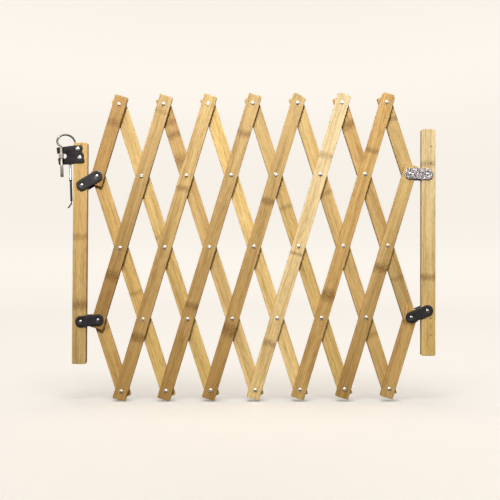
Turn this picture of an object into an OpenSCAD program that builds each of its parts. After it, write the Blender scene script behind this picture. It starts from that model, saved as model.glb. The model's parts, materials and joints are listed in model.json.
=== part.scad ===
// Expanding lattice safety gate. Two layers of bamboo slats are riveted into a scissor lattice,
// which hangs by steel links between a fixed hinge post and a free post with a lift latch.
// The origin is midway between the upper two hinge screw holes, on the hinge post's front face.
// The gate runs from the origin towards -X, stands up along +Z, and its front faces -Y.

/* [Lattice] */
// Distance between neighbouring rivets along a slat
pivot_pitch = 187.5; // [186:0.5:189]
// Lean of every slat from upright when the gate is at rest
slat_lean = 17.3; // [12:0.1:19]
// Width of a slat
slat_w = 34; // [30:0.5:36]
// Thickness of a slat
slat_t = 8; // [6:0.5:9]
// Length of a front slat past its last rivet
front_slat_end = 22.5; // [18:0.5:24]
// Length of a back slat past its last rivet
back_slat_end = 18; // [16:0.5:24]
// Shift of the outermost slats, away from the post beside them
edge_shift = 1; // [0:0.1:2.5]
// Gap between the two layers of slats
layer_gap = 0.4; // [0.3:0.05:0.8]

/* [Rivets] */
// Diameter of a rivet's shank
rivet_d = 4; // [3:0.5:5]
// Diameter of a rivet's domed front head
rivet_head_d = 10; // [8:0.5:11]
// Height of a rivet's domed front head
rivet_head_h = 2.2; // [1.5:0.1:3]
// Diameter of the link pins' shanks
pin_d = 5; // [4:0.5:6]
// Running clearance on the radius of every pivot
play = 0.08; // [0.05:0.01:0.1]

/* [Posts] */
// Width of a post
post_w = 35.5; // [34:0.5:40]
// Thickness of a post
post_t = 12; // [10:0.5:16]
// Distance between a post's two link pins
post_pin_gap = 340; // [336:1:344]
// Length of the hinge post
hinge_post_len = 566; // [540:1:600]
// Length of the latch post
latch_post_len = 553; // [540:1:600]
// Distance of the hinge post's pins from its outer edge
hinge_pin_edge = 20.75; // [18:0.25:24]
// Distance of the latch post's pins from its outer edge
latch_pin_edge = 22.25; // [20:0.25:24]
// Radius of the clearance hole at each post's lower link pin
open_pivot_r = 5.4; // [5.2:0.1:6]

/* [Links] */
// Distance between a link's two pins
link_reach = 43.5; // [43:0.5:46]
// Width of a link
link_w = 28; // [24:0.5:30]
// Thickness of a link
link_t = 2; // [1.5:0.5:3]
// Rise of the latch post's upper link towards the lattice
latch_link_rise = 30; // [24:0.5:31]
// Rise of the hinge post's upper link towards the lattice
hinge_link_rise = 2.5; // [0:0.5:10]

/* [Hinge screw holes] */
// Diameter of a hinge screw hole
hinge_hole_d = 3.8; // [3:0.1:5]
// Distance between the two holes of a pair
hinge_hole_gap = 42; // [36:1:50]
// Shift of the holes from the post's centre line, away from the lattice
hinge_hole_shift = 5.75; // [4:0.25:10]
// Distance of the upper pair's middle below the post's top
hinge_upper_drop = 64.5; // [50:0.5:75]
// Distance between the middles of the two pairs
hinge_pair_gap = 430; // [420:1:440]

/* [Latch] */
// Thickness of the latch plate
plate_t = 2; // [1.5:0.5:2.5]
// Diameter of the locking pin's thick lower end
lock_pin_d = 7.6; // [7.2:0.1:8]
// Diameter of the locking pin's thinner stem
lock_stem_d = 6.8; // [6:0.1:7]
// Diameter of the handle's wire
wire_d = 5; // [4:0.5:5]
// Radius of the handle's loop
loop_r = 19; // [18:0.5:22]
// Lean of the latch's sliding axis against the latch post
latch_lean = 2.5; // [1:0.5:2.5]

/* [Hidden] */
$fn = 48;

// The lattice has 5 rows of rivets, and its outermost rivets are 7 half pitches from its middle.
top_row = 4;
mid_row = 2;
edge_steps = 7;
slat_mid = 5;
half_pitch = pivot_pitch * sin(slat_lean);
row_pitch = pivot_pitch * cos(slat_lean);
edge_x = edge_steps * half_pitch;
slat_corner_r = 2.5;
post_corner_r = 4;

// Depths, from the posts' front face at 0. The posts are thinner than the two layers of slats, so
// spacers behind them hold the rear links off.
link_gap = 0.3;
front_y = link_gap;
back_y = front_y + slat_t + layer_gap;
stack_t = back_y + slat_t + link_gap;
spacer_d = 10;
spacer_gap = 0.1;
tail_gap = 0.2;
tail_h = 1.4;

// The upper link's rise fixes the lower link's rise and the post's lean, because the distance
// between the post's two pins is given. Both are found where two circles cross.
function pin_offset(rise) = link_reach * [cos(rise), -sin(rise)];
function lower_offset(rise) =
    let (
        top = [0, 2 * row_pitch] + pin_offset(rise),
        reach = norm(top),
        along = (reach * reach + link_reach * link_reach - post_pin_gap * post_pin_gap)
            / (2 * reach),
        across = sqrt(link_reach * link_reach - along * along),
        dir = top / reach
    )
    along * dir + across * [dir[1], -dir[0]];
function post_lean(rise) =
    let (span = [0, 2 * row_pitch] + pin_offset(rise) - lower_offset(rise))
    atan2(span[0], span[1]);
function lower_rise(rise) = let (o = lower_offset(rise)) -atan2(o[1], o[0]);

hinge_lean = post_lean(hinge_link_rise);
latch_post_lean = -post_lean(latch_link_rise);
hinge_pin = [edge_x, row_pitch] + pin_offset(hinge_link_rise);
latch_pin = [-edge_x - pin_offset(latch_link_rise)[0],
             row_pitch + pin_offset(latch_link_rise)[1]];
hinge_post_x = -hinge_hole_shift;
hinge_pin_x = post_w / 2 - hinge_pin_edge;
hinge_post_top = hinge_upper_drop;
hinge_pin_drop = (hinge_post_len - post_pin_gap) / 2;
latch_pin_drop = (latch_post_len - post_pin_gap) / 2;
hinge_pin_z = hinge_post_top - hinge_pin_drop;

// Latch. Places are measured on the latch post's front face, from its top and from a line that
// lies latch_zero in from its outer edge.
latch_zero = 19.5;
latch_pin_x = latch_pin_edge - latch_zero;
latch_pivot = [-37.5, -35];
lock_pin_x = -46.8;
lock_pin_top = -12;
lock_pin_step = -58;
lock_pin_bottom = -87;
lock_chamfer = 1;
lock_pin_y = -plate_t - lock_pin_d / 2 - 0.3;
knuckle_r = 6;
window_low = -41;
window_high = -29;
window_end_x = -35.3;
screw_spots = [[-8, -16.5], [-3, -38.5]];
screw_d = 4;
screw_head_d = 10.5;
screw_len = 10;
rod_x = -29;
rod_d = 5.4;
rod_top = -42;
rod_bottom = -147;
tube_r = 3.4;
tube_y = 3.3;
tube_top = -44;
tube_bottom = -94;
lip_r = 4.6;
ring_h = 3;
foot_d = 3.2;
foot_route = [[rod_x, tube_y, rod_bottom + 2], [rod_x, tube_y, rod_bottom - 4],
              [rod_x - 1, tube_y, rod_bottom - 7], [rod_x - 9, tube_y, rod_bottom - 17]];
behind_y = post_t + wire_d / 2 + 0.8;
plate_outline = [
    [-61, -14], [-21, -8.5], [-1, -7], [2.5, -8.5], [4, -12], [3.5, -17], [1.5, -21],
    [4, -26], [7, -30], [7.3, -42], [9, -45], [8.5, -48.5], [5.5, -50.5], [-18.5, -52],
    [-19, -55], [-54.5, -56.8], [-58.3, -34],
];

// A rectangle from its low corner to its high corner, with corners rounded to radius r.
module eased_rect(low, high, r) {
    steps = 3;
    middles = [[high[0] - r, high[1] - r], [low[0] + r, high[1] - r],
               [low[0] + r, low[1] + r], [high[0] - r, low[1] + r]];
    polygon([for (c = [0:3]) for (k = [0:steps])
        let (a = 90 * c + 90 * k / steps) middles[c] + r * [cos(a), sin(a)]]);
}

// Stands a flat outline up in the X-Z plane, from depth y back to depth y + t.
module upright(y, t) {
    translate([0, y + t, 0]) rotate([90, 0, 0]) linear_extrude(t) children();
}

// A round hole along Y.
module drill(x, z, d, y = -50, len = 100) {
    translate([x, y, z]) rotate([-90, 0, 0]) cylinder(d = d, h = len);
}

// Places things that are drawn about the lattice's centre.
module in_lattice() {
    translate([hinge_post_x + hinge_pin_x, 0, hinge_pin_z]) rotate([0, -hinge_lean, 0])
        translate([-hinge_pin[0], 0, -hinge_pin[1]]) children();
}

// Places things that are drawn about the latch's zero at the latch post's top.
module on_latch_post() {
    in_lattice() translate([latch_pin[0], 0, latch_pin[1]]) rotate([0, latch_post_lean, 0])
        translate([-latch_pin_x, 0, latch_pin_drop]) children();
}

// Leans the latch's sliding pieces about the middle of its plate.
module along_latch() {
    translate([latch_pivot[0], 0, latch_pivot[1]]) rotate([0, -latch_lean, 0])
        translate([-latch_pivot[0], 0, -latch_pivot[1]]) children();
}

// Slats. side is 1 for the front layer, which leans to the right, and -1 for the back layer.
// Slat number n is counted from the left, and step counts half pitches from the middle.
function step(n, side, row) = 2 * (n - slat_mid) + side * (row - mid_row);
function rows(n, side) = [for (r = [0:top_row]) if (abs(step(n, side, r)) <= edge_steps) r];
function at_link(n, side, row) = abs(step(n, side, row)) == edge_steps;
function shift(n, side) =
    let (r = rows(n, side), last = r[len(r) - 1])
    at_link(n, side, r[0]) || at_link(n, side, last) ? -sign(n - slat_mid) * edge_shift : 0;
function rivet_rows(n) = [for (r = rows(n, 1)) if (!at_link(n, 1, r)) r];

module along_slat(n, side) {
    in_lattice() translate([2 * (n - slat_mid) * half_pitch, 0, 0])
        rotate([0, side * slat_lean, 0]) children();
}

module slat(n, side) {
    r = rows(n, side);
    past = side > 0 ? front_slat_end : back_slat_end;
    low = (r[0] - mid_row) * pivot_pitch - past;
    high = (r[len(r) - 1] - mid_row) * pivot_pitch + past;
    mid = shift(n, side);
    along_slat(n, side) difference() {
        upright(side > 0 ? front_y : back_y, slat_t)
            eased_rect([mid - slat_w / 2, low], [mid + slat_w / 2, high], slat_corner_r);
        for (row = r)
            drill(0, (row - mid_row) * pivot_pitch,
                  (at_link(n, side, row) ? pin_d : rivet_d) + 2 * play);
    }
}

module front_slat(n) {
    color("peru") slat(n, 1);
}

module back_slat(n) {
    color("tan") slat(n, -1);
}

// A rivet along Y: a domed head in front of depth from, and a flat tail behind depth to.
module rivet(d, head_d, from, to) {
    dome = 6;
    translate([0, from, 0]) rotate([-90, 0, 0]) rotate_extrude() polygon(concat(
        [for (k = [0:dome]) let (a = 90 * k / dome)
            [head_d / 2 * sin(a), -rivet_head_h * cos(a)]],
        [[d / 2, 0], [d / 2, to - from], [head_d * 0.42, to - from],
         [head_d * 0.36, to - from + tail_h], [0, to - from + tail_h]]));
}

module rivets(n) {
    color("silver") along_slat(n, 1) for (row = rivet_rows(n))
        translate([0, 0, (row - mid_row) * pivot_pitch])
            rivet(rivet_d, rivet_head_d, front_y, back_y + slat_t + tail_gap);
}

// Links. side is 1 at the hinge post and -1 at the latch post, level is 1 for the upper pair.
// A link is drawn from its lattice pin at the origin out to its post pin.
function upper_rise(side) = side > 0 ? hinge_link_rise : latch_link_rise;
function rise(side, level) = level > 0 ? upper_rise(side) : lower_rise(upper_rise(side));

module along_link(side, level) {
    in_lattice() translate([side * edge_x, 0, level * row_pitch])
        rotate([0, side * rise(side, level), 0]) children();
}

module link(side, level, y) {
    along_link(side, level) difference() {
        upright(y, link_t) {
            circle(d = link_w);
            translate([side * link_reach, 0]) circle(d = link_w);
            translate([side * link_reach / 2, 0]) square([link_reach, link_w], center = true);
        }
        for (x = [0, side * link_reach]) drill(x, 0, pin_d + 2 * play);
    }
}

module front_link(side, level) {
    color(side > 0 && level > 0 ? "silver" : [0.12, 0.12, 0.13])
        link(side, level, -link_gap - link_t);
}

module back_link(side, level) {
    color([0.12, 0.12, 0.13]) link(side, level, stack_t + link_gap);
}

module pins(side, level) {
    color("silver") along_link(side, level) {
        for (x = [0, side * link_reach]) translate([x, 0, 0])
            rivet(pin_d, rivet_head_d, -link_gap - link_t, stack_t + link_gap + link_t);
        spacer_y = post_t + spacer_gap;
        upright(spacer_y, stack_t + link_gap - spacer_gap - spacer_y)
            translate([side * link_reach, 0]) circle(d = spacer_d);
    }
}

// Posts. The lower pin's hole is wide, so the pin can wander a little as the gate folds.
module post(len, left, x_pins, pin_drop) {
    difference() {
        upright(0, post_t) eased_rect([left, -len], [left + post_w, 0], post_corner_r);
        drill(x_pins, -pin_drop, pin_d + 2 * play);
        drill(x_pins, -pin_drop - post_pin_gap, 2 * open_pivot_r);
    }
}

module hinge_post() {
    color("burlywood") difference() {
        translate([hinge_post_x, 0, hinge_post_top])
            post(hinge_post_len, -post_w / 2, hinge_pin_x, hinge_pin_drop);
        for (pair = [0, -hinge_pair_gap]) for (end = [-0.5, 0.5])
            drill(0, pair + end * hinge_hole_gap, hinge_hole_d);
    }
}

module latch_post() {
    color("burlywood") on_latch_post() difference() {
        post(latch_post_len, -latch_zero, latch_pin_x, latch_pin_drop);
        for (s = screw_spots) drill(s[0], s[1], screw_d + 0.1, -1, screw_len + 2);
    }
}

// The plate is screwed to the post and reaches out beyond it. A tab cut from its window is rolled
// forward into a knuckle that guides the locking pin.
module latch_plate() {
    color([0.15, 0.14, 0.14]) on_latch_post() difference() {
        union() {
            difference() {
                upright(-plate_t, plate_t) polygon(plate_outline);
                upright(-plate_t - 1, plate_t + 2) window();
            }
            along_latch() translate([lock_pin_x, lock_pin_y, window_low - 0.5])
                cylinder(r = knuckle_r, h = window_high - window_low + 1);
        }
        along_latch() translate([lock_pin_x, lock_pin_y, lock_pin_bottom])
            cylinder(d = lock_pin_d + 2 * play, h = 100);
        for (s = screw_spots) drill(s[0], s[1], screw_d + 0.4);
    }
}

module window() {
    r = (window_high - window_low) / 2;
    translate([-70, window_low]) square([window_end_x - r + 70, 2 * r]);
    translate([window_end_x - r, window_low + r]) circle(r);
}

module latch_screws() {
    color("silver") on_latch_post() for (s = screw_spots) translate([s[0], -plate_t, s[1]])
        rotate([-90, 0, 0]) rotate_extrude() polygon(concat(
            [for (a = [0:15:90]) [screw_head_d / 2 * sin(a), -rivet_head_h * cos(a)]],
            [[screw_d / 2, 0], [screw_d / 2, screw_len - 3], [0, screw_len]]));
}

// The tube that the handle's rear rod slides in, with a flared lip at its mouth.
module guide_tube() {
    bore_r = rod_d / 2 + play;
    color("silver") on_latch_post() along_latch() translate([rod_x, tube_y, tube_bottom])
        rotate_extrude() polygon([
            [bore_r, 0], [lip_r, 0], [lip_r, 0.8], [tube_r, 2.4],
            [tube_r, tube_top - tube_bottom], [bore_r, tube_top - tube_bottom]]);
}

module guide_ring() {
    color("black") on_latch_post() along_latch()
        translate([rod_x, tube_y, tube_bottom - ring_h]) difference() {
            cylinder(r = tube_r, h = ring_h);
            translate([0, 0, -1]) cylinder(r = rod_d / 2 + play, h = ring_h + 2);
        }
}

// Swept wire. Corners of the route are cut twice, and the cross-section is carried along it.
function cut_corners(p) = concat([p[0]],
    [for (i = [0:len(p) - 2]) each [0.75 * p[i] + 0.25 * p[i + 1], 0.25 * p[i] + 0.75 * p[i + 1]]],
    [p[len(p) - 1]]);
function unit(v) = v / norm(v);
function heading(p, i) = unit(p[min(i + 1, len(p) - 1)] - p[max(i - 1, 0)]);
function square_to(v, t) = unit(v - (v * t) * t);
function sides(p, i, v) =
    i == len(p) ? [] : let (w = square_to(v, heading(p, i))) concat([w], sides(p, i + 1, w));

module sweep(p, r, count) {
    across = sides(p, 0, [0, 1, 0]);
    rings = len(p);
    corners = [for (i = [0:rings - 1]) for (k = [0:count - 1])
        let (a = 360 * k / count, t = heading(p, i))
        p[i] + r * (cos(a) * across[i] + sin(a) * cross(t, across[i]))];
    walls = [for (i = [0:rings - 2]) for (k = [0:count - 1])
        let (a = i * count + k, b = i * count + (k + 1) % count)
        each [[a, b + count, b], [a, a + count, b + count]]];
    ends = [[for (k = [0:count - 1]) k],
            [for (k = [count - 1:-1:0]) (rings - 1) * count + k]];
    polyhedron(corners, concat(walls, ends));
}

loop_mid = [-37.5, 1.5];
loop_ends_y = [lock_pin_y, behind_y];
function loop_point(a) =
    let (x = -cos(a) * loop_r, f = (1 - cos(a)) / 2)
    [loop_mid[0] + x, loop_ends_y[0] + f * (loop_ends_y[1] - loop_ends_y[0]),
     loop_mid[1] + loop_r * sin(a)];
handle_route = concat(
    [[lock_pin_x, lock_pin_y, lock_pin_top], [lock_pin_x, lock_pin_y, lock_pin_top + 3],
     [-53.5, lock_pin_y, lock_pin_top + 4.5]],
    [for (a = [0:30:180]) loop_point(a)],
    [[-18.5, behind_y, -12], [-19, behind_y, -20], [rod_x, behind_y, -27],
     [rod_x, behind_y, -33], [rod_x, tube_y, -35], [rod_x, tube_y, rod_top - 1]]);

// The handle is one bent wire: its loop, and the rear rod with a bent foot that keeps it in.
module lift_handle() {
    color("dimgray") on_latch_post() along_latch() {
        sweep(cut_corners(cut_corners(handle_route)), wire_d / 2, 8);
        translate([rod_x, tube_y, rod_bottom]) cylinder(d = rod_d, h = rod_top - rod_bottom);
        sweep(foot_route, foot_d / 2, 8);
    }
}

// The pin's free end is thicker than its stem, and its tip is chamfered.
module locking_pin() {
    step_z = lock_pin_step - lock_pin_bottom;
    top_z = lock_pin_top - lock_pin_bottom;
    color("gray") on_latch_post() along_latch()
        translate([lock_pin_x, lock_pin_y, lock_pin_bottom]) rotate_extrude() polygon([
            [0, 0], [lock_pin_d / 2 - lock_chamfer, 0], [lock_pin_d / 2, lock_chamfer],
            [lock_pin_d / 2, step_z], [lock_stem_d / 2, step_z], [lock_stem_d / 2, top_z],
            [0, top_z]]);
}

hinge_post();
latch_post();
for (n = [1:9]) {
    front_slat(n);
    back_slat(n);
    rivets(n);
}
for (side = [-1, 1]) for (level = [-1, 1]) {
    corner = str(side > 0 ? "hinge" : "latch", level > 0 ? "_upper" : "_lower");
    front_link(side, level);
    back_link(side, level);
    pins(side, level);
}
latch_plate();
latch_screws();
guide_tube();
guide_ring();
lift_handle();
locking_pin();
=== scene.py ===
"""The looks of the expanding bamboo safety gate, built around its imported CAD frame.

Each piece is drawn in millimetres in a frame of its own, with x across it, y from its front to
its back and z up along it, and is then placed in the row frame, which is in metres. Places come
from the CAD nodes' boxes. The latch's outlines and the handle's route repeat the part's numbers.
"""
import json
import math

import bmesh
import bpy
from mathutils import Matrix, Vector, noise


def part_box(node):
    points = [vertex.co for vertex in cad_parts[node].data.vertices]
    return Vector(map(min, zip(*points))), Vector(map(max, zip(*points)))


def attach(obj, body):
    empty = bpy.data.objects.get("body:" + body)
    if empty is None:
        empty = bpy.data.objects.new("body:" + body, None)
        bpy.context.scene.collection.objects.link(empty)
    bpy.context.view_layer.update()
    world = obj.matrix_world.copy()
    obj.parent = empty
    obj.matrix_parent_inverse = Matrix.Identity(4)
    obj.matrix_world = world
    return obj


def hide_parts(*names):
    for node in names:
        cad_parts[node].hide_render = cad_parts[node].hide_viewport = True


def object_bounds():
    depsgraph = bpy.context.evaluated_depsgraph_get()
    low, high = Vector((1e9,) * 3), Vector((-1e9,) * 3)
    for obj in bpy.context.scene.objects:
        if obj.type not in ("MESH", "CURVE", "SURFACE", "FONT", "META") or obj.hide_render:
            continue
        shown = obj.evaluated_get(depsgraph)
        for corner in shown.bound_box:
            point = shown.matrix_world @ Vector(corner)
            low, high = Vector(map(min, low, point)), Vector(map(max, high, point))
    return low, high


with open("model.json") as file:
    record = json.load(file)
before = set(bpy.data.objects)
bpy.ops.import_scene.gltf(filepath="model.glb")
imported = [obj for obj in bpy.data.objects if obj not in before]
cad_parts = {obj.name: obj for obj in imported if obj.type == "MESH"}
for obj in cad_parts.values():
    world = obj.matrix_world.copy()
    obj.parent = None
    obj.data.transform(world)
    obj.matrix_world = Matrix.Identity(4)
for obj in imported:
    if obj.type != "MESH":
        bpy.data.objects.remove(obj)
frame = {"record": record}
cad_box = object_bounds()

MM = 0.001
PLAY = 0.08          # radial running clearance at every pivot
RIVET_R = 2.0        # shank of a lattice rivet
PIN_R = 2.5          # shank of a link pin
SLAT_CORNER = 2.5    # rounding of a slat's outline
POST_CORNER = 4.0
OPEN_PIVOT_R = 5.4   # clearance hole of each post's lower link pin
HINGE_HOLE_R = 1.9
HEAD_H = 2.2         # height of a link pin's or a screw's domed head
THROUGH = 60         # half length of a tool that cuts right through
ROWS = range(5)      # rows of rivets, from the bottom
EDGE_STEPS = 7       # half pitches from the lattice's middle to its outermost rivets


# ---------------------------------------------------------------- places read from the frame


def middle(node):
    low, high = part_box(node)
    return (low + high) / 2


def stand(origin, up):
    """A millimetre frame at origin: z along up, which lies in the X-Z plane, and y to the back."""
    up = up.normalized()
    turn = Matrix((Vector((up.z, 0, -up.x)), Vector((0, 1, 0)), up)).transposed()
    return Matrix.Translation(origin) @ turn.to_4x4() @ Matrix.Scale(MM, 4)


# The first rivet group is a single rivet, so its box gives the head. Each corner of a group's box
# is a head's radius from an end rivet, so the boxes give the lattice's two steps as well.
HEAD_R = (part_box("rivets_1")[1].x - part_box("rivets_1")[0].x) / 2
HEAD_CORNER = Vector((HEAD_R, 0, HEAD_R))


def flat(vector):
    return Vector((vector.x, 0, vector.z))


def span(node):
    """From the lowest corner to the highest of a group of heads, between the heads' middles."""
    low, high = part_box(node)
    return flat(high - low) - 2 * HEAD_CORNER


# One rivet up a front slat, one slat to the right, and one rivet up a back slat.
FRONT_UP = span("rivets_5") / 4
NEXT_SLAT = flat(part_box("rivets_7")[0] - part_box("rivets_3")[0]) / 4
BACK_UP = FRONT_UP - NEXT_SLAT
LATTICE_MID = flat(middle("rivets_5"))
PITCH = FRONT_UP.length / MM
LAYER_UP = {"front": FRONT_UP, "back": BACK_UP}


def step_of(n, layer, row):
    return 2 * (n - 5) + (row - 2) * (1 if layer == "front" else -1)


def slat_rows(n, layer):
    return [row for row in ROWS if abs(step_of(n, layer, row)) <= EDGE_STEPS]


def outline_size(node, up, corner):
    """Width and length in mm of a round-cornered board that leans along up, from its box."""
    low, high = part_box(node)
    lean, rise = abs(up.normalized().x), up.normalized().z
    wide = (high.x - low.x) / MM - 2 * corner
    tall = (high.z - low.z) / MM - 2 * corner
    scale = rise * rise - lean * lean
    return ((wide * rise - tall * lean) / scale + 2 * corner,
            (tall * rise - wide * lean) / scale + 2 * corner)


def pin_ends(corner):
    """Middles of a link's lattice pin and post pin, from the corners of the pins' box."""
    low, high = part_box("pins_" + corner)
    left, right = low.x + HEAD_R, high.x - HEAD_R
    post_left = corner.startswith("latch")
    lattice_higher = corner != "hinge_lower"
    bottom, top = low.z + HEAD_R, high.z - HEAD_R
    lattice = Vector((right if post_left else left, 0, top if lattice_higher else bottom))
    post = Vector((left if post_left else right, 0, bottom if lattice_higher else top))
    return lattice, post


# ----------------------------------------------------------------------------- mesh building


class Shell:
    """Points and faces that are gathered into one piece, in its own millimetres."""

    def __init__(self):
        self.points, self.faces = [], []

    def add(self, points, faces, place=Matrix()):
        start = len(self.points)
        self.points += [place @ Vector(p) for p in points]
        self.faces += [[start + i for i in face] for face in faces]
        return self

    def rings(self, rings, closed=False, caps=True, place=Matrix(), skip=()):
        """Joins rings of equally many points. skip holds (ring, side) pairs that stay open."""
        count = len(rings[0])
        points = [p for ring in rings for p in ring]
        faces = []
        for i in range(len(rings) if closed else len(rings) - 1):
            a, b = i * count, (i + 1) % len(rings) * count
            for k in range(count):
                if (i, k) not in skip:
                    m = (k + 1) % count
                    faces.append((a + k, a + m, b + m, b + k))
        if caps and not closed:
            faces.append(tuple(reversed(range(count))))
            faces.append(tuple((len(rings) - 1) * count + k for k in range(count)))
        return self.add(points, faces, place)

    def lathe(self, profile, steps=32, closed=False, place=Matrix()):
        """Turns (radius, depth) points about the y axis. A closed profile makes a tube."""
        angles = [2 * math.pi * k / steps for k in range(steps)]
        rings = [[(max(r, 1e-4) * math.cos(a), y, max(r, 1e-4) * math.sin(a)) for a in angles]
                 for r, y in profile]
        return self.rings(rings, closed=closed, place=place)

    def mesh(self, name, sharp=32):
        """The shell as a mesh with merged points, outward faces and smooth shading."""
        made = bpy.data.meshes.new(name)
        made.from_pydata(self.points, [], self.faces)
        weld(made, 2e-3)
        finish_shading(made, sharp)
        return made


def weld(mesh, gap):
    """Merges points that are closer than gap, and turns all faces outward."""
    work = bmesh.new()
    work.from_mesh(mesh)
    bmesh.ops.remove_doubles(work, verts=work.verts, dist=gap)
    bmesh.ops.dissolve_degenerate(work, edges=work.edges, dist=1e-4)
    bmesh.ops.recalc_face_normals(work, faces=work.faces)
    work.to_mesh(mesh)
    work.free()


def finish_shading(mesh, sharp=32):
    for face in mesh.polygons:
        face.use_smooth = True
    mesh.set_sharp_from_angle(angle=math.radians(sharp))


def cut(mesh, tool, sharp=32):
    """The mesh with the tool shell's volume taken out of it."""
    body = bpy.data.objects.new("body", mesh)
    knife = bpy.data.objects.new("knife", tool.mesh("knife"))
    for o in (body, knife):
        bpy.context.scene.collection.objects.link(o)
    change = body.modifiers.new("cut", "BOOLEAN")
    change.operation, change.solver, change.object = "DIFFERENCE", "EXACT", knife
    graph = bpy.context.evaluated_depsgraph_get()
    made = bpy.data.meshes.new_from_object(body.evaluated_get(graph))
    for o in (body, knife):
        bpy.data.objects.remove(o)
    finish_shading(made, sharp)
    return made


def put(name, mesh, material, body, stands_for=(), place=Matrix.Scale(MM, 4)):
    """Makes a piece of a mesh: places it, paints it, ties it to its body and hides the CAD nodes
    it stands for.
    """
    piece = bpy.data.objects.new(name, mesh)
    bpy.context.scene.collection.objects.link(piece)
    mesh.materials.clear()
    mesh.materials.append(material)
    mesh.transform(place)
    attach(piece, body)
    if stands_for:
        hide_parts(*stands_for)


def holes(spots):
    """A tool that drills right through along y, at (x, z, radius) spots."""
    tool = Shell()
    for x, z, radius in spots:
        tool.lathe([(0, -THROUGH), (radius, -THROUGH), (radius, THROUGH), (0, THROUGH)],
                   place=Matrix.Translation((x, 0, z)))
    return tool


def arc(centre, radius, start, end, steps):
    """Points on an arc in the x-z plane, from start to end degrees."""
    turns = [math.radians(start + (end - start) * k / steps) for k in range(steps + 1)]
    return [(centre[0] + radius * math.cos(t), centre[1] + radius * math.sin(t)) for t in turns]


# ------------------------------------------------------------------------------------ boards

EDGE = 1.3           # easing of a board's long edges
FACE_MARKS = (-0.97, -0.6, -0.2, 0.2, 0.6, 0.97)    # points across a board's face
WANDER = 0.12        # how far a board's edges wander
DRIFT = 0.1          # how far its middle wanders
RELIEF = 0.06        # how deep its faces wander


def section(half_w, half_t, edge):
    """A board's cross-section with eased edges, as (x, y) points."""
    points = []
    for corner, (sx, sy) in enumerate(((1, 1), (-1, 1), (-1, -1), (1, -1))):
        centre = (sx * (half_w - edge), sy * (half_t - edge))
        points += arc(centre, edge, 90 * corner, 90 * corner + 90, 4)
        if corner in (0, 2):
            inner = half_w - edge
            marks = reversed(FACE_MARKS) if corner == 0 else FACE_MARKS
            points += [(inner * m, sy * half_t) for m in marks]
    return points


def inset(distance, radius):
    """How far a rounded corner stands back, at a distance from the end."""
    if distance >= radius:
        return 0.0
    return radius - math.sqrt(radius * radius - (radius - distance) ** 2)


def stations(length, corner, rings):
    """Places along a board: close together at its ends and its node rings."""
    half = length / 2
    found = {0.0}
    for k in range(6):
        d = corner * (1 - math.cos(math.radians(18 * k)))
        found |= {half - d, d - half}
    count = int(length / 9)
    found |= {-half + corner + (length - 2 * corner) * k / count for k in range(count + 1)}
    for z, _, reach in rings:
        found |= {z + m * reach for m in (-1.5, -1, -0.7, -0.4, -0.15, 0, 0.15, 0.4, 0.7, 1, 1.5)}
    found = sorted(z for z in found if abs(z) <= half)
    return [z for i, z in enumerate(found) if i == 0 or z - found[i - 1] > 0.02]


def board(width, length, thick, corner, rings, seed):
    """A bamboo board whose faces and edges wander a little and swell at its node rings."""
    shell = Shell()
    loops = []
    for z in stations(length, corner, rings):
        to_end = length / 2 - abs(z)
        swell = sum(math.exp(-((z - at) / (0.7 * reach)) ** 2) * dark for at, dark, reach in rings)
        wander = WANDER * (noise.noise(Vector((seed, 0, z / 60))) - 2 + min(swell, 1))
        ease = min(to_end, EDGE)
        drift = DRIFT * noise.noise(Vector((seed, 9, z / 150))) if to_end > corner else 0
        half_w = width / 2 + wander - abs(drift) - inset(to_end, corner)
        half_t = thick / 2 + min(0, wander) * 0.5 - inset(ease, EDGE) * 0.6
        loop = section(half_w, half_t, EDGE - 0.3 * (to_end < corner))
        relief = RELIEF * (to_end > corner)
        loops.append([(x + drift, y - math.copysign(relief, y) * abs(noise.noise(
            Vector((x / 4, y + seed, z / 45)))), z) for x, y in loop])
    return shell.rings(loops)


# The bamboo's tones, from dark to light.
WOOD = {"umber": "9e7a43", "tan": "ae8a50", "oat": "bfa36c", "honey": "c6a366",
        "straw": "cdb177", "corn": "d8b974", "pale": "d7c49a", "cream": "e9cc8f"}
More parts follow.
